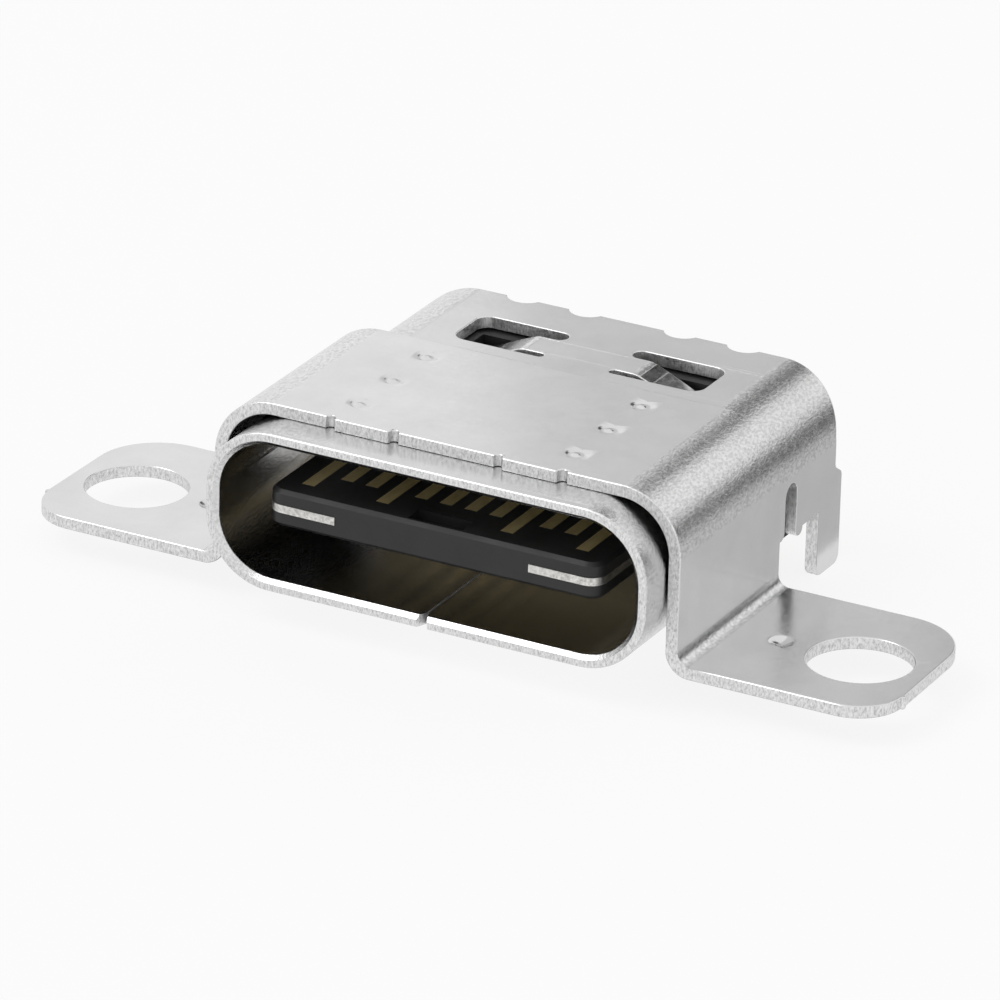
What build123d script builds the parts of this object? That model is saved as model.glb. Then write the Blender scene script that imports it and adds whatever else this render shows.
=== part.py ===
from build123d import *
import os

# Board-mount plug receptacle with a folded shell and a screw-down bracket.
# Lengths are in millimetres. The pieces are drawn from the middle of the mouth:
# X across, Y into the shell, Z up. They are then placed on the seat frame,
# whose origin is midway between the screw holes on the underside of the ears.

# Opening for the plug
opening_width = 8.34
opening_height = 2.56
opening_corner = 1.05
lead_in = 0.09

# Shell, one folded sheet: a closed tube, then a cover measured from its rear edge
shell_sheet = 0.24
shell_depth = 7.95
cover_length = 3.00
seam_gap = 0.03
seam_notch_width = 0.22
seam_notch_depth = 0.26

# Side walls of the cover
wall_edge = -0.88
wall_relief = 0.15
wall_setback = 0.40
wall_slant_end = 0.40
side_slot_rear = 1.97
side_slot_width = 0.46
side_slot_top = 0.13
finger_corner = 0.16
hook_radius = 0.14
leg_width = 0.93
leg_setback = 0.12
leg_step = -0.15
leg_edge = -2.17
leg_corner = 0.20

# Rear edge of the cover, where it was cut from its carrier strip
carrier_tab_centre = 1.62
carrier_notch_spacing = 1.29
carrier_notch_radius = 0.36
carrier_notch_depth = 0.20

# Windows in the top of the cover and the spring tongues in them
window_inner = 1.12
window_width = 1.40
window_rear = 1.07
window_length = 1.22
window_corner = 0.26
spring_from_window = 0.17
spring_width = 0.70
spring_slit_length = 0.45
spring_crease = 0.35
spring_length = 1.15
spring_first_fall = 0.14
spring_fall = 0.50
spring_bend = 0.20

# Mounting bracket, one folded sheet over the shell
bracket_sheet = 0.24
bracket_front = 0.77
bracket_depth = 4.02
bracket_side_gap = 0.025
bracket_shoulder = 0.96
ear_fold = 0.22
ear_beyond_hole = 1.30
ear_front_corner = 0.90
ear_rear_corner = 1.25
ear_nib = 0.06
seat_below_mouth = 1.66
bracket_tab_centre = 1.68
bracket_tab_width = 1.10
bracket_tab_proud = 0.05
bracket_notch_radius = 0.09

# Screw holes
hole_pitch = 14.68
hole_diameter = 1.92
hole_from_front = 1.88

# Marks pressed into the bracket
weld_column = 2.17
weld_first_row = 0.82
weld_row_pitch = 1.26
weld_rows = 3
weld_diameter = 0.43
weld_depth = 0.03
dimple_from_hole = 1.56
dimple_diameter = 0.46
dimple_depth = 0.07

# Tongue
tongue_width = 6.69
tongue_thickness = 0.70
tongue_front = 0.30
tongue_corner = 0.32
tongue_bevel = 0.07
nose_pocket_width = 1.10
nose_pocket_front = 0.42
nose_pocket_length = 0.42
nose_pocket_depth = 0.20

# Contacts
contact_pitch = 0.50
contact_width = 0.25
contact_sheet = 0.12
contact_bend = 0.10
long_tip = 0.76
short_tip = 1.28
tip_pattern = "long short short long short short short short long short short long".split()
contact_count = len(tip_pattern)
tail_length = 0.70

# Plate between the two rows of contacts
plate_sheet = 0.15
plate_setback = 0.02
plate_bar_length = 1.40
plate_notch_front = 2.75
plate_notch_length = 0.90
plate_notch_depth = 0.30
plate_into_carriers = 1.10

# Housing and contact carriers
housing_length = 1.75
housing_setback = 0.45
housing_fit = 0.03
housing_underside = -1.10
carrier_width = 6.20
carrier_height = 0.55
lower_drop_inset = 0.70
upper_drop_gap = 0.06
spring_clearance = 0.10

# Ground pads at the root of the tongue
pad_sheet = 0.12
pad_width = 5.90
pad_reach = 0.70
pad_bend = 0.08

# How far a cut runs past the faces that it opens
overrun = 1.0

# What follows from the sizes above
opening_top = opening_height / 2
shell_top = opening_top + shell_sheet
shell_half = opening_width / 2 + shell_sheet
shoulder_drop = opening_top - opening_corner
tube_depth = shell_depth - cover_length
slot_front = shell_depth - side_slot_rear - side_slot_width
wall_rear = shell_depth - wall_setback
leg_rear = shell_depth - leg_setback
leg_front = leg_rear - leg_width
window_front = shell_depth - window_rear - window_length
spring_front = window_front + spring_from_window
bracket_rear = bracket_front + bracket_depth
ear_span = hole_pitch + 2 * ear_beyond_hole
bracket_inner = shell_half + bracket_side_gap
bracket_top = shell_top + bracket_sheet
tongue_top = tongue_thickness / 2
housing_rear = shell_depth - housing_setback
housing_front = housing_rear - housing_length
housing_half = opening_width / 2 - housing_fit
housing_top = opening_top - housing_fit
recess_floor = opening_top - spring_fall - spring_clearance
upper_drop = housing_rear + upper_drop_gap
lower_drop = housing_front + lower_drop_inset
plate_rear = housing_front + plate_into_carriers
seat = -seat_below_mouth
hole_line = bracket_front + hole_from_front

os.makedirs("parts", exist_ok=True)


def along_x(section, start, end):
    """Solid of a section drawn in Y and Z."""
    return extrude(Plane.YZ.offset(start) * section, amount=end - start)


def along_y(section, start, end):
    """Solid of a section drawn in X and Z."""
    return extrude(Plane.XZ.offset(-start) * section, amount=start - end)


def along_z(section, start, end):
    """Solid of a section drawn in X and Y."""
    return extrude(Plane.XY.offset(start) * section, amount=end - start)


def block(x_range, y_range, z_range):
    """Solid between two corners."""
    size = [high - low for low, high in (x_range, y_range, z_range)]
    middle = [(high + low) / 2 for low, high in (x_range, y_range, z_range)]
    return Pos(*middle) * Box(*size)


def folded_section(points, bends, thickness):
    """Section of a folded strip. The points lie on its right-hand skin, and bends are inner radii."""
    corners = [Vector(*point) for point in points]
    ways = [(after - before).normalized() for before, after in zip(corners, corners[1:])]
    lefts = [Vector(-way.Y, way.X) for way in ways]
    far_side = [corners[0] + lefts[0] * thickness]
    near_radii = []
    far_radii = []
    for corner, before, after, bend in zip(corners[1:], lefts, lefts[1:], bends):
        far_side.append(corner + (before + after) * (thickness / (1 + before.dot(after))))
        turns_left = before.cross(after).Z > 0
        near_radii.append(bend + thickness if turns_left else bend)
        far_radii.append(bend if turns_left else bend + thickness)
    far_side.append(corners[-1] + lefts[-1] * thickness)
    near = FilletPolyline(*corners, radius=near_radii)
    far = FilletPolyline(*far_side, radius=far_radii)
    ends = [Line(near @ 0, far @ 0), Line(near @ 1, far @ 1)]
    return make_face([edge for line in (near, far, *ends) for edge in line.edges()])


def arch(half_width, top, radius, bottom):
    """Outline with a flat top, two round shoulders and straight sides."""
    over = FilletPolyline((-half_width, bottom), (-half_width, top), (half_width, top),
                          (half_width, bottom), radius=radius)
    under = Line((half_width, bottom), (-half_width, bottom))
    return make_face([*over.edges(), *under.edges()])


def both_sides(solid):
    """A solid and its mirror image across the middle of the shell."""
    return solid + mirror(solid, about=Plane.YZ)


def tube():
    """Closed front of the shell, with a lead-in round the mouth and a butt seam below."""
    outer = RectangleRounded(2 * shell_half, 2 * shell_top, opening_corner + shell_sheet)
    inner = RectangleRounded(opening_width, opening_height, opening_corner)
    body = along_y(outer - inner, 0, tube_depth)
    mouth = body.faces().sort_by(Axis.Y)[0]
    body = chamfer(mouth.inner_wires()[0].edges(), lead_in)
    body = fillet(body.faces().sort_by(Axis.Y)[0].outer_wire().edges(), lead_in / 2)
    seam = block((-seam_gap / 2, seam_gap / 2), (-overrun, tube_depth + overrun),
                 (-shell_top - overrun, 0))
    half = seam_notch_width / 2
    notch = make_face(Polyline((-half, 0), (half, 0), (0, seam_notch_depth), close=True).edges())
    return body - seam - along_z(notch, -shell_top - overrun, 0)


def side_view():
    """Side view of the rear cover, with its wall edge, slot, hook and soldering leg."""
    wall_front = tube_depth + wall_relief
    step_end = leg_step - (leg_rear - wall_rear)
    above = shell_top + overrun
    outline = Polyline((tube_depth, above), (shell_depth, above), (shell_depth, shell_top),
                       (wall_rear, wall_slant_end),
                       (wall_rear, leg_step), (leg_rear, step_end), (leg_rear, leg_edge),
                       (leg_front, leg_edge), (leg_front, wall_edge), (wall_front, wall_edge),
                       (wall_front, -shoulder_drop), (tube_depth, -shoulder_drop), close=True)
    view = make_face(outline.edges())
    view = fillet(view.vertices().group_by(Axis.Y)[0], leg_corner)
    middle = slot_front + side_slot_width / 2
    end_height = side_slot_top - side_slot_width / 2
    slot_height = end_height - wall_edge
    slot = Pos(middle, end_height) * Circle(side_slot_width / 2)
    slot += Pos(middle, end_height - slot_height / 2) * Rectangle(side_slot_width, slot_height)
    view -= slot
    tip = view.vertices().sort_by_distance((slot_front, wall_edge))[0]
    view = fillet(tip, finger_corner)
    hook_place = slot_front + side_slot_width + hook_radius
    return view + Pos(hook_place, wall_edge) * Circle(hook_radius)


def rear_edge_notches():
    """Shallow rounded notches, one on each side of a carrier tab, in the rear edge."""
    places = [side * (carrier_tab_centre + edge * carrier_notch_spacing / 2)
              for side in (-1, 1) for edge in (-1, 1)]
    middle = shell_depth + carrier_notch_radius - carrier_notch_depth
    plan = Sketch() + [Pos(place, middle) * Circle(carrier_notch_radius) for place in places]
    return along_z(plan, 0, shell_top + overrun)


def spring_tongue():
    """Tongue rooted on the inner edge of its window and bent down towards the outside."""
    under = shell_top - shell_sheet
    root = window_inner - spring_slit_length / 2
    points = [(root, under), (window_inner, under),
              (window_inner + spring_crease, under - spring_first_fall),
              (window_inner + spring_length, under - spring_fall)]
    section = folded_section(points, [spring_bend, spring_bend], shell_sheet)
    return along_y(section, spring_front, spring_front + spring_width)


def window():
    """Opening round a spring tongue, reaching past its root as a relief slit on each side."""
    middle = (window_inner + window_width / 2, window_front + window_length / 2)
    plan = Pos(*middle) * RectangleRounded(window_width, window_length, window_corner)
    slit_length = spring_slit_length + window_corner
    slit_middle = window_inner + window_corner - slit_length / 2
    front_slit = spring_from_window
    rear_slit = window_length - spring_from_window - spring_width
    plan += (Pos(slit_middle, window_front + front_slit / 2)
             * SlotOverall(slit_length, front_slit))
    plan += (Pos(slit_middle, window_front + window_length - rear_slit / 2)
             * SlotOverall(slit_length, rear_slit))
    return along_z(plan, 0, shell_top + overrun)


def shell():
    """Front tube and rear cover, folded from one sheet."""
    outer = arch(shell_half, shell_top, opening_corner + shell_sheet, leg_edge)
    inner = arch(opening_width / 2, opening_top, opening_corner, leg_edge)
    cover = along_y(outer - inner, tube_depth, shell_depth)
    cover &= along_x(side_view(), -shell_half - overrun, shell_half + overrun)
    cover -= rear_edge_notches()
    cover -= both_sides(window())
    return tube() + cover + both_sides(spring_tongue())


def bracket_plan():
    """Plan of the bracket, with round ear corners, carrier tabs and notches in its front edge."""
    middle = bracket_front + bracket_depth / 2
    plan = Pos(0, middle) * Rectangle(ear_span, bracket_depth)
    plan = fillet(plan.vertices().group_by(Axis.Y)[0], ear_front_corner)
    plan = fillet(plan.vertices().group_by(Axis.Y)[-1], ear_rear_corner)
    for side in (-1, 1):
        nib_place = (side * ear_span / 2, bracket_front + ear_front_corner)
        plan += Pos(*nib_place) * Circle(ear_nib)
        tab = Rectangle(bracket_tab_width, 2 * bracket_tab_proud)
        plan += Pos(side * bracket_tab_centre, bracket_front) * tab
        for edge in (-1, 1):
            place = bracket_tab_centre + edge * (bracket_tab_width / 2 + bracket_notch_radius)
            plan -= Pos(side * place, bracket_front) * Circle(bracket_notch_radius)
    return plan


def dents(places, surface, diameter, depth):
    """Shallow round dents in a flat surface."""
    radius = (diameter ** 2 / 4 + depth ** 2) / (2 * depth)
    return [Pos(*place, surface - depth + radius) * Sphere(radius) for place in places]


def pressed_marks():
    """Spot welds on the top of the bracket, and a coined dimple on each ear."""
    rows = [bracket_front + weld_first_row + row * weld_row_pitch for row in range(weld_rows)]
    welds = [(side * weld_column, row) for side in (-1, 1) for row in rows]
    dimple_column = hole_pitch / 2 - dimple_from_hole
    dimples = [(side * dimple_column, hole_line) for side in (-1, 1)]
    return (dents(welds, bracket_top, weld_diameter, weld_depth)
            + dents(dimples, seat + bracket_sheet, dimple_diameter, dimple_depth))


def mounting_bracket():
    """Band over the shell with two outward ears, folded from one sheet."""
    under = bracket_top - bracket_sheet
    tip = ear_span / 2 + ear_nib
    points = [(-tip, seat), (-bracket_inner, seat), (-bracket_inner, under),
              (bracket_inner, under), (bracket_inner, seat), (tip, seat)]
    bends = [ear_fold, bracket_shoulder, bracket_shoulder, ear_fold]
    section = folded_section(points, bends, bracket_sheet)
    body = along_y(section, bracket_front - bracket_tab_proud, bracket_rear)
    body &= along_z(bracket_plan(), seat - overrun, bracket_top + overrun)
    for side in (-1, 1):
        hole = Pos(side * hole_pitch / 2, hole_line) * Circle(hole_diameter / 2)
        body -= along_z(hole, seat - overrun, seat + overrun)
    for mark in pressed_marks():
        body -= mark
    return body


def contact(index, upper):
    """One contact: pad on the tongue, bend inside or behind the housing, tail on the seat."""
    tip = long_tip if tip_pattern[index] == "long" else short_tip
    drop = upper_drop if upper else lower_drop
    level = tongue_top - contact_sheet if upper else -tongue_top
    points = [(tip, level), (drop, level), (drop, seat), (drop + tail_length, seat)]
    section = folded_section(points, [contact_bend, contact_bend], contact_sheet)
    middle = (index - (contact_count - 1) / 2) * contact_pitch
    return along_x(section, middle - contact_width / 2, middle + contact_width / 2)


def mid_plate():
    """Steel plate in the middle of the tongue, showing at its sides and front corners."""
    half = tongue_width / 2
    front = tongue_front - plate_setback
    plan = Pos(0, (front + plate_rear) / 2) * Rectangle(tongue_width, plate_rear - front)
    plan = fillet(plan.vertices().group_by(Axis.Y)[0], tongue_corner)
    gap = 2 * (half - plate_bar_length)
    plan -= Pos(0, front + plate_bar_length / 2) * Rectangle(gap, plate_bar_length)
    notch_middle = plate_notch_front + plate_notch_length / 2
    for side in (-1, 1):
        notch = RectangleRounded(2 * plate_notch_depth, plate_notch_length, plate_notch_depth / 2)
        plan -= Pos(side * half, notch_middle) * notch
    neck_length = plate_rear - housing_front
    neck = Pos(0, housing_front + neck_length / 2)
    plan -= neck * Rectangle(tongue_width + overrun, neck_length)
    plan += neck * Rectangle(carrier_width, neck_length)
    return along_z(plan, -plate_sheet / 2, plate_sheet / 2)


def tongue(plate, contacts):
    """Moulded tongue round the plate and under the contact pads."""
    length = housing_front - tongue_front
    plan = Pos(0, tongue_front + length / 2) * Rectangle(tongue_width, length)
    plan = fillet(plan.vertices().group_by(Axis.Y)[0], tongue_corner)
    body = along_z(plan, -tongue_top, tongue_top)
    for level in (0, -1):
        rim = body.faces().sort_by(Axis.Z)[level].edges().filter_by(
            lambda edge: edge.center().Y < tongue_front + tongue_corner)
        body = chamfer(rim, tongue_bevel)
    pocket = block((-nose_pocket_width / 2, nose_pocket_width / 2),
                   (nose_pocket_front, nose_pocket_front + nose_pocket_length),
                   (tongue_top - nose_pocket_depth, tongue_top + overrun))
    body -= pocket + mirror(pocket, about=Plane.XY)
    return body - plate - contacts


def carriers(plate, contacts):
    """Upper and lower moulded blocks that hold the two rows of contacts at the tongue's root."""
    half = carrier_width / 2
    depth = (housing_front, housing_rear)
    upper = block((-half, half), depth, (0, carrier_height))
    lower = block((-half, half), depth, (housing_underside, 0))
    return upper - plate - contacts, lower - plate - contacts


def housing():
    """Moulded block that fills the rear of the shell round the carriers."""
    corner = opening_corner - housing_fit
    outline = arch(housing_half, housing_top, corner, housing_underside)
    half = carrier_width / 2
    height = carrier_height - housing_underside
    core = Pos(0, housing_underside + height / 2) * Rectangle(2 * half, height)
    body = along_y(outline - core, housing_front, housing_rear)
    recess_rear = spring_front + spring_width + spring_clearance
    recess_end = window_inner + spring_length + spring_clearance
    recess = block((window_inner - spring_slit_length / 2, recess_end),
                   (housing_front - overrun, recess_rear),
                   (recess_floor, housing_top + overrun))
    return body - both_sides(recess)


def ground_pad(upper):
    """Thin angle on the root of the tongue and the front of the housing."""
    points = [(housing_front - pad_reach, tongue_top), (housing_front, tongue_top),
              (housing_front, recess_floor)]
    section = folded_section(points, [pad_bend], pad_sheet)
    pad = along_x(section, -pad_width / 2, pad_width / 2)
    return pad if upper else mirror(pad, about=Plane.XY)


def all_parts():
    """Every piece by name, in the frame of the mouth."""
    rows = {"a": True, "b": False}
    contacts = {f"contact_{row}{index + 1:02d}": contact(index, upper)
                for row, upper in rows.items() for index in range(contact_count)}
    metal = list(contacts.values())
    plate = mid_plate()
    upper_carrier, lower_carrier = carriers(plate, metal)
    pieces = {
        "shell": shell(),
        "mounting_bracket": mounting_bracket(),
        "housing": housing(),
        "tongue": tongue(plate, metal),
        "upper_contact_carrier": upper_carrier,
        "lower_contact_carrier": lower_carrier,
        "mid_plate": plate,
        "upper_ground_pad": ground_pad(True),
        "lower_ground_pad": ground_pad(False),
    }
    return {**pieces, **contacts}


for name, piece in all_parts().items():
    export_step(Pos(0, -hole_line, seat_below_mouth) * piece, f"parts/{name}.step")
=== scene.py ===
import math

import bmesh
import bpy
import numpy as np
from mathutils import Matrix, Vector


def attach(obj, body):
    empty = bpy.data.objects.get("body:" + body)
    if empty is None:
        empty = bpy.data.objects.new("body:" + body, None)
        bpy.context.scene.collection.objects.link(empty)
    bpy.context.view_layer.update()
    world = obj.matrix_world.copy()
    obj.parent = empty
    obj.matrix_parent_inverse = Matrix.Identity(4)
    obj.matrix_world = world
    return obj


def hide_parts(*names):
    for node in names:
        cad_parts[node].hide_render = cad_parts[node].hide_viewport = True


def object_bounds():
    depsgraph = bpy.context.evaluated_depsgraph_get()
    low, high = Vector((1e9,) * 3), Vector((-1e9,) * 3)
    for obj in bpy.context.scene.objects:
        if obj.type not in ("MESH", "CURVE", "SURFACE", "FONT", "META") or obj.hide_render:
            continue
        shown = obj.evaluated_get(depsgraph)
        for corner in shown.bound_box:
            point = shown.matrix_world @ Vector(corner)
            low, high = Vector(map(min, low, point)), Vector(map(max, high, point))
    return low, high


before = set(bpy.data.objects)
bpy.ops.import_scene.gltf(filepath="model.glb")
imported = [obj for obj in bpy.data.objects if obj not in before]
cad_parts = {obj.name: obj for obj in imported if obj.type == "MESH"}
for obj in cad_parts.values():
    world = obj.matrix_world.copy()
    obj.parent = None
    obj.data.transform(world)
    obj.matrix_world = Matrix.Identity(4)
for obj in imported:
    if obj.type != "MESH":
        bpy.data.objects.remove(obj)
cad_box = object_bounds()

# Folded pieces are drawn flat, in millimetres: U along the sheet, Y from the mouth to the rear,
# N through its thickness. They are then folded along a section and set in the seat frame.
MM = 0.001
SHEET = 0.24
HALF = SHEET / 2
HOLE_LINE = 2.65
SEAT = 1.66
QUARTER = math.pi / 2

# Shell
OPENING_HALF = 4.17
OPENING_TOP = 1.28
OPENING_CORNER = 1.05
SHELL_DEPTH = 7.95
TUBE_DEPTH = 4.95
LEAD_IN = 0.09
LIP_ROUND = 0.045
LIP_SLICES = [0.008, 0.03, 0.045, 0.06, 0.075, 0.09, 0.12]
SEAM_HALF_GAP = 0.015
SEAM_NOTCH_HALF = 0.095
SEAM_NOTCH_DEPTH = 0.2245
WALL_EDGE = -0.88
WALL_RELIEF = 0.15
WALL_REAR = 7.55
WALL_SLANT = 0.40
WALL_SLANT_END = 0.40
SLOT_REAR = 5.98
SLOT_WIDTH = 0.46
SLOT_TOP = 0.13
FINGER_CORNER = 0.16
HOOK_RADIUS = 0.14
LEG_FRONT = 6.90
LEG_REAR = 7.83
LEG_EDGE = -2.17
LEG_CORNER = 0.20
LEG_STEP = [(-0.43, LEG_REAR), (-0.36, 7.80), (-0.22, 7.58), (-0.15, WALL_REAR)]
TAB_NOTCHES = (2.265, 0.975)
TAB_NOTCH_RADIUS = 0.36
TAB_NOTCH_DEPTH = 0.20
WINDOW_FRONT = 5.66
WINDOW_REAR = 6.88
WINDOW_OUTER = 2.52
WINDOW_CORNER = 0.26
SLIT_END = 0.67
SPRING_FRONT = 5.83
SPRING_REAR = 6.53
SPRING_ROOT = 0.90
SPRING_TIP = 2.374
SPRING_CORNER = 0.08
SPRING_BEND = 0.32
# Where the flat sheet is sliced for each of the spring's two bends: start, end and steps
SPRING_SLICES = [(1.081, 1.203, 6), (1.45, 1.47, 2)]

# Bracket
BRACKET_FRONT = 0.77
BRACKET_REAR = 4.79
BRACKET_INNER = 4.435
BRACKET_SHOULDER = 0.96
EAR_FOLD = 0.22
EAR_END = 8.64
EAR_FRONT_CORNER = 0.90
EAR_REAR_CORNER = 1.25
NIB_RADIUS = 0.06
HOLE_X = 7.34
HOLE_RADIUS = 0.96
TAB_CENTRE = 1.68
TAB_WIDTH = 1.10
TAB_PROUD = 0.05
TAB_CORNER = 0.04
TAB_RELIEF = 0.09
WELD_COLUMN = 2.17
WELD_FIRST_ROW = 0.82
WELD_PITCH = 1.26
WELD_ROWS = 3
DIMPLE_FROM_HOLE = 1.56

# Round marks, as radius and depth from the middle outwards
WELD = [(0, 0.004), (0.045, 0.006), (0.075, 0.024), (0.14, 0.030), (0.185, 0.022), (0.22, 0.0)]
DIMPLE = [(0, 0.070), (0.06, 0.067), (0.12, 0.056), (0.18, 0.032), (0.22, 0.006), (0.235, 0.0)]


# Outlines
def arc(centre, radius, start, end, steps):
    """Points on an arc, angles in degrees."""
    return [(centre[0] + radius * math.cos(math.radians(start + (end - start) * i / steps)),
             centre[1] + radius * math.sin(math.radians(start + (end - start) * i / steps)))
            for i in range(steps + 1)]


def area(loop):
    return sum(a[0] * b[1] - b[0] * a[1] for a, b in zip(loop, loop[1:] + loop[:1])) / 2


def flipped(loop):
    """The same loop on the other side of the middle line."""
    return [(-x, y) for x, y in loop]


def mirrored(half):
    """A closed outline from its right half."""
    return half + flipped(half[::-1])


def spread(start, end, steps):
    return [start + (end - start) * i / steps for i in range(steps + 1)]


# Flat sheets
def object_from(name, verts, faces):
    mesh = bpy.data.meshes.new(name)
    mesh.from_pydata(verts, [], faces)
    thing = bpy.data.objects.new(name, mesh)
    bpy.context.scene.collection.objects.link(thing)
    return thing


def evaluated_mesh(thing):
    bpy.context.view_layer.update()
    graph = bpy.context.evaluated_depsgraph_get()
    return bpy.data.meshes.new_from_object(thing.evaluated_get(graph))


def flat_plate(name, outline, holes, edge=0.022):
    """Solid plate from an outline and its holes, with small rounded edges all round."""
    curve = bpy.data.curves.new(name, "CURVE")
    curve.dimensions = "2D"
    curve.fill_mode = "BOTH"
    curve.extrude = HALF - edge
    curve.bevel_depth = edge
    curve.bevel_resolution = 2
    curve.offset = -edge
    for index, loop in enumerate([outline, *holes]):
        anticlockwise = index == 0
        if (area(loop) > 0) != anticlockwise:
            loop = loop[::-1]
        spline = curve.splines.new("POLY")
        spline.points.add(len(loop) - 1)
        for point, (u, v) in zip(spline.points, loop):
            point.co = (u, v, 0, 1)
        spline.use_cyclic_u = True
    holder = bpy.data.objects.new(name, curve)
    bpy.context.scene.collection.objects.link(holder)
    mesh = evaluated_mesh(holder)
    bpy.data.objects.remove(holder)
    built = bmesh.new()
    built.from_mesh(mesh)
    bmesh.ops.remove_doubles(built, verts=built.verts, dist=1e-4)
    bmesh.ops.recalc_face_normals(built, faces=built.faces)
    return built


def slice_at(built, axis, places):
    """Cut the plate's faces along lines, so that it can bend there."""
    normal = (1, 0, 0) if axis == 0 else (0, 1, 0)
    for place in places:
        point = (place, 0, 0) if axis == 0 else (0, place, 0)
        everything = built.verts[:] + built.edges[:] + built.faces[:]
        bmesh.ops.bisect_plane(built, geom=everything, plane_co=point, plane_no=normal, dist=1e-5)


def sink(built, marks, reach=0.30, steps=32):
    """Sink round marks into the upper skin: each replaces a small square of it with its own rings."""
    for axis in (0, 1):
        places = {round(centre[axis] + side * reach, 5) for centre, profile in marks for side in (-1, 1)}
        slice_at(built, axis, sorted(places))
    for (u, v), profile in marks:
        skin = []
        for face in built.faces:
            middle = face.calc_center_median()
            upper = all(vert.co.z > HALF - 1e-4 for vert in face.verts)
            if upper and abs(middle.x - u) < reach and abs(middle.y - v) < reach:
                skin.append(face)
        bmesh.ops.delete(built, geom=skin, context="FACES")
        rim = [edge for edge in built.edges if edge.is_boundary]
        rings = []
        for radius, depth in profile[:0:-1]:
            rings.append([built.verts.new((u + radius * math.cos(2 * math.pi * k / steps),
                                           v + radius * math.sin(2 * math.pi * k / steps), HALF - depth))
                          for k in range(steps)])
        rim += [built.edges.new((rings[0][k], rings[0][(k + 1) % steps])) for k in range(steps)]
        bmesh.ops.triangle_fill(built, edges=rim, use_beauty=True, normal=(0, 0, 1))
        for outer, inner in zip(rings, rings[1:]):
            for k in range(steps):
                built.faces.new((outer[k], outer[(k + 1) % steps], inner[(k + 1) % steps], inner[k]))
        bottom = built.verts.new((u, v, HALF - profile[0][1]))
        for k in range(steps):
            built.faces.new((rings[-1][k], rings[-1][(k + 1) % steps], bottom))
    bmesh.ops.recalc_face_normals(built, faces=built.faces)


# Folding
class Fold:
    """Middle line of a folded section: straight runs and arcs, measured from the middle outwards."""

    def __init__(self, start, runs):
        self.parts = []
        place, way, travelled = Vector(start), Vector((1, 0)), 0.0
        for kind, size, *angle in runs:
            if kind == "straight":
                self.parts.append((kind, travelled, size, place.copy(), way.copy(), 0))
                place += way * size
                travelled += size
            else:
                turn = math.radians(angle[0])
                self.parts.append((kind, travelled, abs(turn) * size, place.copy(), way.copy(),
                                   math.copysign(1 / size, turn)))
                side = Vector((-way.y, way.x)) * math.copysign(size, turn)
                place = place + side + Matrix.Rotation(turn, 2) @ -side
                way = Matrix.Rotation(turn, 2) @ way
                travelled += abs(turn) * size
        self.length = travelled

    def at(self, u):
        """Place, direction and skin direction at a distance from the middle, on either side."""
        side = -1 if u < 0 else 1
        u = abs(u)
        for kind, start, length, place, way, bend in self.parts:
            if u <= start + length or start + length >= self.length:
                along = u - start
                if kind == "straight":
                    point, heading = place + way * along, way
                else:
                    turn = along * bend
                    normal = Vector((-way.y, way.x)) / bend
                    point = place + normal + Matrix.Rotation(turn, 2) @ -normal
                    heading = Matrix.Rotation(turn, 2) @ way
                break
        skin = Vector((-heading.y, heading.x))
        return (side * point.x, point.y), (heading.x, side * heading.y), (side * skin.x, skin.y), abs(bend)

    def bends(self, steps):
        """Where to slice the flat sheet so that it folds smoothly."""
        cuts = []
        for kind, start, length, place, way, bend in self.parts:
            if kind == "arc":
                places = spread(start, start + length, steps)
                cuts += places + [-place for place in places]
        return cuts


def sheet_mapping(choose):
    """Mapping of the flat sheet on to the folded one, by the fold that a place belongs to."""
    def mapping(co):
        fold, u = choose(co.x, co.y)
        (px, pz), (ax, az), (sx, sz), curl = fold.at(u)
        return ((px + co.z * sx, co.y, pz + co.z * sz), Vector((ax, 0, az)), Vector((0, 1, 0)),
                Vector((sx, 0, sz)), curl)
    return mapping


def finish_piece(name, built, mapping, materials, node):
    """Fold the flat solid, give it true normals, and let it stand for its CAD node."""
    mesh = bpy.data.meshes.new(name)
    built.to_mesh(mesh)
    built.free()
    piece = bpy.data.objects.new(name, mesh)
    bpy.context.scene.collection.objects.link(piece)
    for material in materials:
        mesh.materials.append(material)
    for polygon in mesh.polygons:
        polygon.use_smooth = True
        sheared = abs(polygon.normal.z) < 0.5
        polygon.material_index = int(sheared)
    mesh.set_sharp_from_angle(angle=math.radians(50))
    weigh = piece.modifiers.new("weigh", "WEIGHTED_NORMAL")
    weigh.keep_sharp = True
    weigh.weight = 100
    weighed = evaluated_mesh(piece)
    piece.modifiers.clear()
    flat_normals = np.zeros(len(weighed.loops) * 3, np.float32)
    weighed.corner_normals.foreach_get("vector", flat_normals)
    flat_normals = flat_normals.reshape(-1, 3)
    frames = [mapping(vertex.co) for vertex in weighed.vertices]
    bend = weighed.attributes.new("bend", "FLOAT", "POINT")
    flat_place = weighed.attributes.new("flat_place", "FLOAT_VECTOR", "POINT")
    for vertex, (point, across, along, skin, curl) in zip(weighed.vertices, frames):
        flat_place.data[vertex.index].vector = vertex.co
        vertex.co = Vector((point[0], point[1] - HOLE_LINE, point[2] + SEAT)) * MM
        bend.data[vertex.index].value = curl
    normals = []
    for loop, normal in zip(weighed.loops, flat_normals):
        point, across, along, skin, curl = frames[loop.vertex_index]
        normals.append((across * normal[0] + along * normal[1] + skin * normal[2]).normalized())
    weighed.update()
    weighed.normals_split_custom_set(normals)
    piece.data = weighed
    bpy.data.meshes.remove(mesh)
    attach(piece, "root")
    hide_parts(node)


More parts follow.
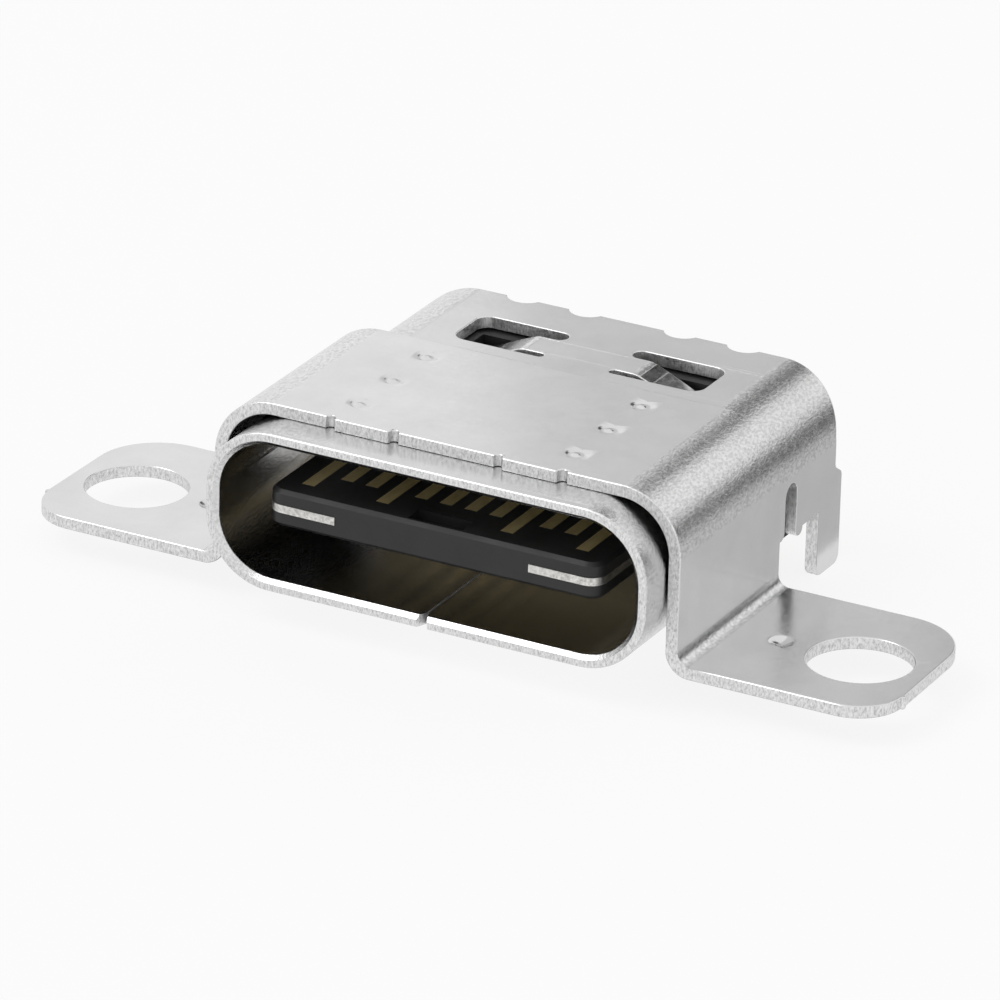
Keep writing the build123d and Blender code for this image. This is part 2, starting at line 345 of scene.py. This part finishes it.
# Materials
class Nodes:
    """Small helper that adds and links the nodes of one material or world."""

    def __init__(self, owner, output="OutputMaterial"):
        owner.use_nodes = True
        self.owner = owner
        self.tree = owner.node_tree
        self.tree.nodes.clear()
        self.out = self.add(output)

    def add(self, kind, **inputs):
        node = self.tree.nodes.new("ShaderNode" + kind)
        for name, value in inputs.items():
            self.feed(node, name.replace("_", " "), value)
        return node

    def feed(self, node, name, value):
        """Link a socket, or set a plain value, by the input's name or place."""
        target = node.inputs[name]
        if isinstance(value, bpy.types.NodeSocket):
            self.tree.links.new(value, target)
        else:
            target.default_value = value

    def math(self, operation, a, b=0.0, clamp=False):
        node = self.add("Math")
        node.operation = operation
        node.use_clamp = clamp
        self.feed(node, 0, a)
        self.feed(node, 1, b)
        return node.outputs[0]

    def noise(self, scale, detail=3.0, rough=0.55, stretch=(1, 1, 1)):
        place = self.add("TexCoord").outputs["Object"]
        stretched = self.add("Mapping", Vector=place, Scale=stretch).outputs[0]
        cells = self.add("TexNoise", Vector=stretched, Scale=scale, Detail=detail, Roughness=rough)
        return cells.outputs["Fac"]

    def ramp(self, value, stops):
        """Colours, or greys, at places along a value."""
        node = self.add("ValToRGB", Fac=value)
        band = node.color_ramp
        while len(band.elements) < len(stops):
            band.elements.new(0.5)
        for element, (place, colour) in zip(band.elements, stops):
            element.position = place
            element.color = (*colour, 1) if isinstance(colour, tuple) else grey(colour)
        return node.outputs["Color"]

    def spread(self, value, low, high, to_low, to_high):
        node = self.add("MapRange", Value=value, From_Min=low, From_Max=high, To_Min=to_low, To_Max=to_high)
        return node.outputs[0]

    def bump(self, height, distance, strength=1.0, normal=None):
        node = self.add("Bump", Height=height, Distance=distance, Strength=strength)
        if normal is not None:
            self.feed(node, "Normal", normal)
        return node.outputs[0]

    def attribute(self, name, output="Fac"):
        node = self.add("Attribute")
        node.attribute_name = name
        return node.outputs[output]

    def mix(self, amount, a, b):
        """Mix two colours: a mix node keeps its colour inputs at places 6 and 7."""
        node = self.add("Mix")
        node.data_type = "RGBA"
        for place, value in ((0, amount), (6, a), (7, b)):
            self.feed(node, place, value)
        return node.outputs[2]

    def principled(self, **inputs):
        return self.show(self.add("BsdfPrincipled", **inputs))

    def blend(self, amount, first, second):
        """Show a mix of two shaders."""
        both = self.add("MixShader", Fac=amount)
        self.feed(both, 1, first.outputs[0])
        self.feed(both, 2, second.outputs[0])
        return self.show(both)

    def show(self, shader):
        """Send a shader to the output, and give back the material or world."""
        self.tree.links.new(shader.outputs[0], self.out.inputs[0])
        return self.owner

    def background_rays(self):
        """1 for the rays that show the background: seen directly, mirrored or through glass."""
        path = self.add("LightPath")
        seen = self.math("MAXIMUM", path.outputs["Is Camera Ray"], path.outputs["Is Glossy Ray"])
        return self.math("MAXIMUM", seen, path.outputs["Is Transmission Ray"])


def grey(value):
    return (value, value, value, 1)


def material_nodes(name):
    return Nodes(bpy.data.materials.new(name))


def sheet_metal(name, tone):
    """Satin sheet metal: faintly clouded on its flats, grained where it was bent, with painted shade on its
    inner skin.
    """
    n = material_nodes(name)
    bent = n.math("MULTIPLY", n.attribute("bend"), 1.15, clamp=True)
    apart = n.add("SeparateXYZ", Vector=n.attribute("flat_place", "Vector"))
    # Painted shade: the shell's inner face behind the lead-in and the bracket's underside are darkened to
    # 0.55 of the tone.
    painted_shade_inside = n.math("MULTIPLY", n.math("LESS_THAN", apart.outputs["Z"], -0.05),
                    n.math("GREATER_THAN", apart.outputs["Y"], 0.10))
    cloud = n.noise(900, 4)
    fine = n.noise(9000, 4, 0.6)
    grain = n.noise(19000, 4, 0.68, stretch=(1, 0.6, 1))
    colour = n.ramp(cloud, [(0.3, tone * 0.96), (0.7, tone * 1.04)])
    speckle = n.ramp(grain, [(0.40, tone * 0.50), (0.50, tone * 0.95), (0.62, min(1.0, tone * 1.30))])
    colour = n.mix(n.math("MULTIPLY", bent, 0.32), colour, speckle)
    # Painted shade mixed in over the inner skin.
    colour = n.mix(painted_shade_inside, colour, grey(tone * 0.55))
    rough = n.math("ADD", n.spread(fine, 0.3, 0.7, 0.15, 0.24), n.math("MULTIPLY", bent, 0.02))
    normal = n.bump(fine, 0.0000012, 0.6)
    normal = n.bump(n.math("MULTIPLY", grain, bent), 0.000008, 1.0, normal)
    return n.principled(Base_Color=colour, Metallic=1.0, Roughness=rough, Normal=normal)


def sheared_edge(name, tone):
    """Cut edge of the sheet: bright, torn across its thickness."""
    n = material_nodes(name)
    torn = n.noise(26000, 3, 0.7, stretch=(1, 1, 0.45))
    coarse = n.noise(8000, 3)
    colour = n.ramp(torn, [(0.34, tone * 0.68), (0.48, tone * 0.98), (0.65, min(1.0, tone * 1.2))])
    rough = n.spread(coarse, 0.3, 0.7, 0.28, 0.5)
    normal = n.bump(torn, 0.000010, 1.0, n.bump(coarse, 0.00001, 0.7))
    return n.principled(Base_Color=colour, Metallic=1.0, Roughness=rough, Normal=normal)


def plastic(name, tone, rough_low, rough_high):
    """Black moulded plastic with a fine skin."""
    n = material_nodes(name)
    skin = n.noise(7000, 5, 0.6)
    blotch = n.noise(1500, 3)
    colour = n.ramp(blotch, [(0.3, tone * 0.85), (0.7, tone * 1.15)])
    rough = n.spread(blotch, 0.3, 0.7, rough_low, rough_high)
    return n.principled(Base_Color=colour, Roughness=rough, Specular_IOR_Level=0.35,
                        Normal=n.bump(skin, 0.000006, 0.8))


def drawn_metal(name, low, high, rough_low, rough_high, scale=9000, metallic=1.0):
    """Rolled or plated strip, streaked along its length."""
    n = material_nodes(name)
    drawn = n.noise(scale, 4, 0.6, stretch=(1, 0.25, 1))
    colour = n.ramp(drawn, [(0.3, low), (0.7, high)])
    rough = n.spread(n.noise(scale * 0.5, 3), 0.3, 0.7, rough_low, rough_high)
    return n.principled(Base_Color=colour, Metallic=metallic, Roughness=rough,
                        Normal=n.bump(drawn, 0.000004, 0.8))


shell_skin = sheet_metal("shell_skin", 0.68)
bracket_skin = sheet_metal("bracket_skin", 0.70)
edge_metal = sheared_edge("sheared_metal", 0.72)
plate_metal = drawn_metal("plate_metal", (0.45, 0.44, 0.42), (0.85, 0.84, 0.81), 0.3, 0.5, scale=16000)
pad_metal = drawn_metal("pad_metal", (0.30, 0.28, 0.24), (0.42, 0.40, 0.35), 0.3, 0.45)
contact_gold = drawn_metal("contact_gold", (0.80, 0.63, 0.28), (0.95, 0.78, 0.40), 0.28, 0.40, metallic=0.45)
tongue_black = plastic("tongue_black", 0.026, 0.34, 0.46)
housing_black = plastic("housing_black", 0.012, 0.36, 0.50)

# Shell
SHOULDER = OPENING_CORNER + HALF
FLAT_HALF = OPENING_HALF - OPENING_CORNER
DROP = OPENING_TOP - OPENING_CORNER
WALL_START = FLAT_HALF + SHOULDER * QUARTER
SHELL_TOP = OPENING_TOP + HALF
tube_fold = Fold((0, SHELL_TOP), [("straight", FLAT_HALF), ("arc", SHOULDER, -90), ("straight", 2 * DROP),
                                  ("arc", SHOULDER, -90), ("straight", FLAT_HALF)])
cover_fold = Fold((0, SHELL_TOP), [("straight", FLAT_HALF), ("arc", SHOULDER, -90), ("straight", 4.0)])
spring_fold = Fold((SPRING_ROOT, SHELL_TOP), [("straight", 0.181), ("arc", SPRING_BEND, -21.8),
                                              ("straight", 0.25), ("arc", SPRING_BEND, -2.4),
                                              ("straight", 2.0)])


def wall_u(z):
    """Distance along the sheet of a height on the side wall."""
    return WALL_START + DROP - z


def side_wall():
    """Wall from its relief behind the tube to the rear of the leg: finger, slot, hook and leg."""
    wall, leg = wall_u(WALL_EDGE), wall_u(LEG_EDGE)
    slot_radius = SLOT_WIDTH / 2
    slot_front = SLOT_REAR - SLOT_WIDTH
    points = [(wall_u(-DROP), TUBE_DEPTH + WALL_RELIEF), (wall, TUBE_DEPTH + WALL_RELIEF)]
    points += arc((wall - FINGER_CORNER, slot_front - FINGER_CORNER), FINGER_CORNER, 0, 90, 6)
    points += arc((wall_u(SLOT_TOP - slot_radius), SLOT_REAR - slot_radius), slot_radius, 270, 90, 14)
    points.append((wall, SLOT_REAR))
    points += arc((wall, SLOT_REAR + HOOK_RADIUS), HOOK_RADIUS, -80, 80, 8)
    points += [(wall, SLOT_REAR + 2 * HOOK_RADIUS), (wall, LEG_FRONT)]
    points += arc((leg - LEG_CORNER, LEG_FRONT + LEG_CORNER), LEG_CORNER, -90, 0, 6)
    points += arc((leg - LEG_CORNER, LEG_REAR - LEG_CORNER), LEG_CORNER, 0, 90, 6)
    return points + [(wall_u(z), v) for z, v in LEG_STEP]


def rear_edge():
    """Slanted rear of the shoulder, then the notches beside the rear tabs."""
    points = []
    for angle in spread(QUARTER, 0, 12):
        height = DROP + SHOULDER * math.cos(angle)
        slant = WALL_SLANT * max(0.0, height - WALL_SLANT_END)
        points.append((FLAT_HALF + SHOULDER * angle, WALL_REAR + slant))
    outside = TAB_NOTCH_RADIUS - TAB_NOTCH_DEPTH
    half_angle = math.degrees(math.acos(outside / TAB_NOTCH_RADIUS))
    start, end = half_angle - 90, -half_angle - 90
    for middle in TAB_NOTCHES:
        points += arc((middle, SHELL_DEPTH + outside), TAB_NOTCH_RADIUS, start, end, 12)
    return points


def shell_outline():
    end = tube_fold.length - SEAM_HALF_GAP
    mouth = [(end - SEAM_NOTCH_HALF, 0), (end, SEAM_NOTCH_DEPTH), (end, TUBE_DEPTH),
             (wall_u(-DROP), TUBE_DEPTH)]
    return mirrored(mouth + side_wall() + rear_edge())


def window_hole():
    """Window in the shell's top, cut round a spring tongue that points outwards."""
    front_slit = (SPRING_FRONT - WINDOW_FRONT) / 2
    rear_slit = (WINDOW_REAR - SPRING_REAR) / 2
    corner_x, tip_x = WINDOW_OUTER - WINDOW_CORNER, SPRING_TIP - SPRING_CORNER
    loop = arc((SLIT_END + front_slit, WINDOW_FRONT + front_slit), front_slit, 90, 270, 8)
    loop += arc((corner_x, WINDOW_FRONT + WINDOW_CORNER), WINDOW_CORNER, 270, 360, 8)
    loop += arc((corner_x, WINDOW_REAR - WINDOW_CORNER), WINDOW_CORNER, 0, 90, 8)
    loop += arc((SLIT_END + rear_slit, WINDOW_REAR - rear_slit), rear_slit, 90, 270, 10)
    loop += arc((tip_x, SPRING_REAR - SPRING_CORNER), SPRING_CORNER, 90, 0, 5)
    loop += arc((tip_x, SPRING_FRONT + SPRING_CORNER), SPRING_CORNER, 0, -90, 5)
    return loop


def spring_cuts():
    cuts = []
    for start, end, steps in SPRING_SLICES:
        cuts += spread(start, end, steps)
    return cuts + [-cut for cut in cuts]


def lip(built):
    """Coined lead-in round the mouth: a slope on the inner face and a round on the outer face."""
    for vertex in built.verts:
        v = vertex.co.y
        if v < LEAD_IN:
            vertex.co.z = max(vertex.co.z, -HALF + LEAD_IN - v)
        if v < LIP_ROUND:
            round_top = HALF - LIP_ROUND + math.sqrt(max(0.0, LIP_ROUND ** 2 - (LIP_ROUND - v) ** 2))
            vertex.co.z = min(vertex.co.z, round_top)


def shell_fold(u, v):
    """The fold that a place on the flat shell follows, and how far along it lies."""
    between_slits = SPRING_FRONT - 0.001 <= v <= SPRING_REAR + 0.001
    if between_slits and SPRING_ROOT < abs(u) < SPRING_TIP + 0.01:
        return spring_fold, math.copysign(abs(u) - SPRING_ROOT, u)
    return (cover_fold if v > TUBE_DEPTH + WALL_RELIEF / 2 else tube_fold), u


def shell_piece():
    window = window_hole()
    plate = flat_plate("shell_plate", shell_outline(), [window, flipped(window)])
    slice_at(plate, 1, LIP_SLICES)
    slice_at(plate, 0, tube_fold.bends(24))
    slice_at(plate, 0, spring_cuts())
    lip(plate)
    finish_piece("shell_sheet", plate, sheet_mapping(shell_fold), [shell_skin, edge_metal],
                 "shell")


# Bracket
UNDER = OPENING_TOP + SHEET
bracket_fold = Fold((0, UNDER + HALF), [("straight", BRACKET_INNER - BRACKET_SHOULDER),
                    ("arc", BRACKET_SHOULDER + HALF, -90),
                    ("straight", UNDER - BRACKET_SHOULDER + SEAT - SHEET - EAR_FOLD),
                    ("arc", EAR_FOLD + HALF, 90), ("straight", 5.0)])
EAR_SHIFT = bracket_fold.parts[-1][1] - (BRACKET_INNER + SHEET + EAR_FOLD)


def front_tab():
    """Tab on the bracket's front edge between two small reliefs."""
    inner, outer = TAB_CENTRE - TAB_WIDTH / 2, TAB_CENTRE + TAB_WIDTH / 2
    corner_v = BRACKET_FRONT - TAB_PROUD + TAB_CORNER
    points = [(inner - 2 * TAB_RELIEF, BRACKET_FRONT)]
    points += arc((inner - TAB_RELIEF, BRACKET_FRONT), TAB_RELIEF, 170, 10, 6)
    points.append((inner, BRACKET_FRONT - TAB_CORNER))
    points += arc((inner + TAB_CORNER, corner_v), TAB_CORNER, 200, 270, 3)
    points += arc((outer - TAB_CORNER, corner_v), TAB_CORNER, 270, 340, 3)
    points.append((outer, BRACKET_FRONT))
    points += arc((outer + TAB_RELIEF, BRACKET_FRONT), TAB_RELIEF, 170, 10, 6)
    points.append((outer + 2 * TAB_RELIEF, BRACKET_FRONT))
    return points


def bracket_outline():
    end = EAR_END + EAR_SHIFT
    front_v = BRACKET_FRONT + EAR_FRONT_CORNER
    half = front_tab()
    half += arc((end - EAR_FRONT_CORNER, front_v), EAR_FRONT_CORNER, -90, -4, 16)
    half += arc((end, front_v), NIB_RADIUS, -70, 70, 5)
    half += arc((end - EAR_REAR_CORNER, BRACKET_REAR - EAR_REAR_CORNER), EAR_REAR_CORNER, 0, 90, 20)
    return mirrored(half)


def bracket_marks():
    """Spot welds in two columns on the band, and a dimple on each ear."""
    dimple_u = HOLE_X - DIMPLE_FROM_HOLE + EAR_SHIFT
    welds = [((side * WELD_COLUMN, BRACKET_FRONT + WELD_FIRST_ROW + WELD_PITCH * row), WELD)
             for side in (-1, 1) for row in range(WELD_ROWS)]
    return welds + [((side * dimple_u, HOLE_LINE), DIMPLE) for side in (-1, 1)]


def bracket_piece():
    hole = arc((HOLE_X + EAR_SHIFT, HOLE_LINE), HOLE_RADIUS, 0, 360, 72)[:-1]
    plate = flat_plate("bracket_plate", bracket_outline(), [hole, flipped(hole)], edge=0.03)
    sink(plate, bracket_marks())
    slice_at(plate, 0, bracket_fold.bends(24))
    finish_piece("bracket_sheet", plate, sheet_mapping(lambda u, v: (bracket_fold, u)),
                 [bracket_skin, edge_metal], "mounting_bracket")


shell_piece()
bracket_piece()

# CAD nodes that stay
finishes = {"housing": housing_black, "tongue": tongue_black, "upper_contact_carrier": housing_black,
            "lower_contact_carrier": housing_black, "mid_plate": plate_metal,
            "upper_ground_pad": pad_metal, "lower_ground_pad": pad_metal}
for name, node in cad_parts.items():
    finish = contact_gold if name.startswith("contact_") else finishes.get(name)
    if finish:
        node.data.materials.clear()
        node.data.materials.append(finish)

# Floor, just below the object's lowest point, in metres as all that follows
FLOOR_HALF = 0.6
FLOOR_GAP = 0.00002


def floor_material():
    """Pale paper that keeps the shadow and shows as the white background."""
    n = material_nodes("floor_white")
    paper = n.add("BsdfDiffuse", Color=grey(0.95))
    glow = n.add("Emission", Color=grey(1.0), Strength=1.0)
    return n.blend(n.math("MULTIPLY", n.background_rays(), 0.86), paper, glow)


floor_z = cad_box[0].z - FLOOR_GAP
floor = object_from("floor", [(-FLOOR_HALF, -FLOOR_HALF, floor_z), (FLOOR_HALF, -FLOOR_HALF, floor_z),
                              (FLOOR_HALF, FLOOR_HALF, floor_z), (-FLOOR_HALF, FLOOR_HALF, floor_z)],
                    [(0, 1, 2, 3)])
floor.data.materials.append(floor_material())

# World: white as background, plain grey as light
world = bpy.data.worlds.new("studio")
bpy.context.scene.world = world
sky = Nodes(world, "OutputWorld")
fill = sky.add("Background", Color=grey(0.8), Strength=0.8)
white = sky.add("Background", Color=grey(1.0), Strength=1.0)
sky.blend(sky.background_rays(), fill, white)

# Key lamp, aimed at the object
key_light = bpy.data.lights.new("key", "AREA")
key_light.shape = "SQUARE"
key_light.size = 0.16
key_light.energy = 0.22
key = bpy.data.objects.new("key", key_light)
key.location = (-0.16, -0.10, 0.26)
key.rotation_euler = (-key.location).to_track_quat("-Z", "Y").to_euler()
bpy.context.scene.collection.objects.link(key)


# Cards
def card(name, corners, tone):
    """Studio card that only the metal's reflections show."""
    sheet = object_from(name, corners, [(0, 1, 2, 3)])
    n = material_nodes(name)
    sheet.data.materials.append(n.show(n.add("Emission", Color=grey(tone), Strength=1.0)))
    sheet.visible_camera = False
    sheet.visible_diffuse = False
    sheet.visible_shadow = False
    sheet.visible_transmission = False


def upright(name, left, right, low_edge, high_edge, tone):
    """Card standing between two places on the floor plan."""
    card(name, [(*left, low_edge), (*right, low_edge), (*right, high_edge), (*left, high_edge)], tone)


def lying(name, near, far, height, tone):
    """Level card between two opposite corners."""
    card(name, [(near[0], near[1], height), (far[0], near[1], height), (far[0], far[1], height),
                (near[0], far[1], height)], tone)


upright("card_grey", (-0.0205, 0.040), (-0.0080, 0.040), 0.0, 0.030, 0.72)
upright("card_dark", (-0.0080, 0.040), (0.0050, 0.040), 0.018, 0.038, 0.03)
upright("card_side", (0.018, 0.036), (0.031, 0.026), -0.0004, 0.011, 0.03)
lying("card_low", (0.0048, 0.0035), (0.040, 0.045), -0.00045, 0.60)

# Camera at the photograph's place
camera_data = bpy.data.cameras.new("camera")
camera_data.sensor_width = 36
camera_data.lens = 327.024
camera_data.clip_start = 0.01
camera_data.clip_end = 10
camera = bpy.data.objects.new("camera", camera_data)
camera.location = (0.068431, -0.131847, 0.066682)
camera.rotation_euler = [math.radians(angle) for angle in (66.3456, -1.4212, 28.0097)]
bpy.context.scene.collection.objects.link(camera)
bpy.context.scene.camera = camera
bpy.context.scene.view_settings.view_transform = "Standard"
